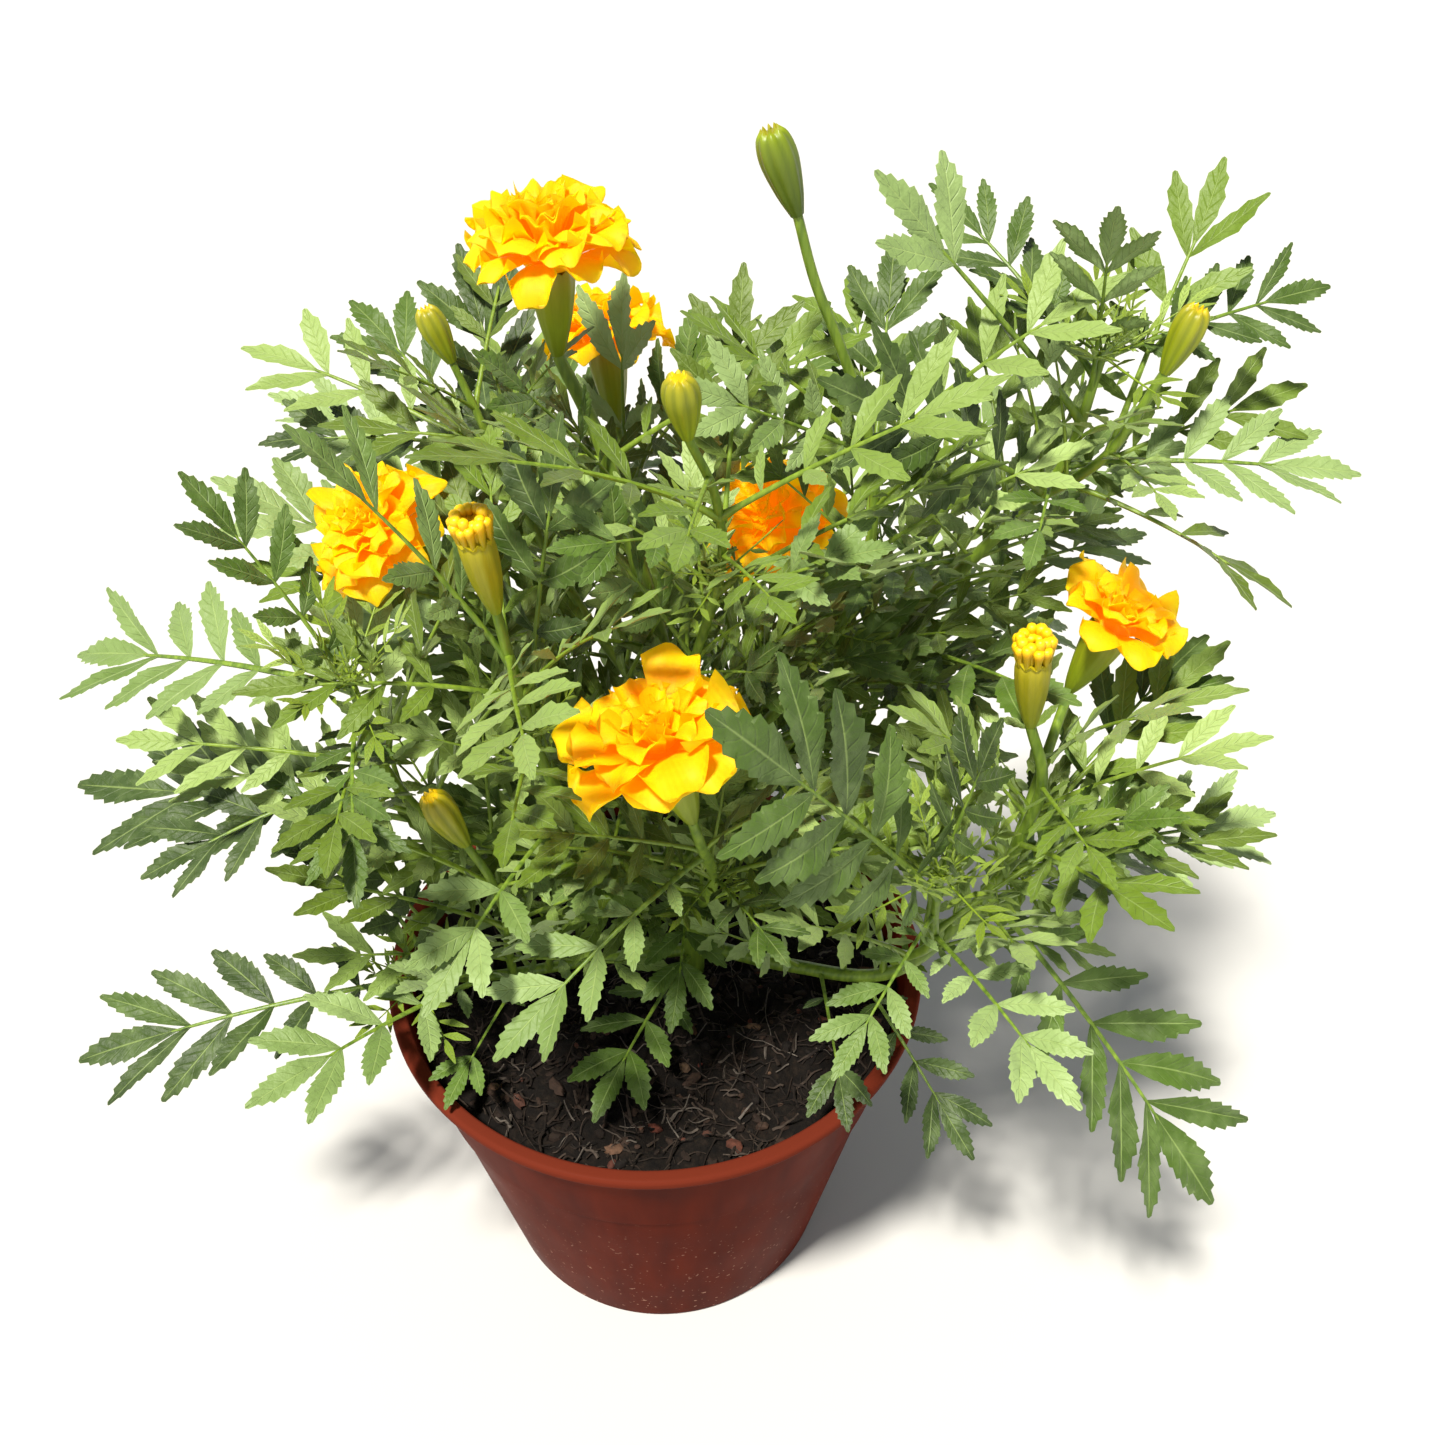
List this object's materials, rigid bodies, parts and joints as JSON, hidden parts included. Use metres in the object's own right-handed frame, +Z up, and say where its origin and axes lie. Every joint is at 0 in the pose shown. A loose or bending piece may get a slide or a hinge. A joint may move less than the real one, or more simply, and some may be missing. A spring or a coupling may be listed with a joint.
{
  "type": "potted african marigold",
  "caption": "Bushy marigold plant with double golden-orange blooms, green buds and toothed feathery leaves, growing in a round tapered red-brown plastic nursery pot.",
  "frame": {"origin": "middle of the underside of the pot's base, on the surface that the pot stands on", "axes": "+Z up, -Y towards the viewer of the picture, +X to the viewer's right"},
  "size_m": [0.3646, 0.2791, 0.4006],
  "materials": {
    "pot_plastic": "satin",
    "soil": "matte",
    "foliage": "satin",
    "petals": "matte",
    "florets": "matte"
  },
  "bodies": {
    "root": {"pot": "pot_plastic", "soil": "soil", "stem_main": "foliage", "stem_left_low": "foliage", "stem_right_low": "foliage", "stem_bloom_4": "foliage", "stem_back_left": "foliage", "stem_back_right": "foliage", "stem_bud_4": "foliage", "stem_left_shoot": "foliage", "stem_right_top": "foliage", "stem_back": "foliage", "stem_bloom_3": "foliage", "stem_bloom_2": "foliage", "stem_bud_1": "foliage", "stem_bloom_6": "foliage", "stem_bud_2": "foliage", "stem_bud_3": "foliage", "petals_bloom_1": "petals", "petals_bloom_2": "petals", "petals_bloom_3": "petals", "petals_bloom_4": "petals", "petals_bloom_5": "petals", "petals_bloom_6": "petals", "florets_right_low": "florets", "florets_bud_4": "florets"}
  },
  "joints": []
}
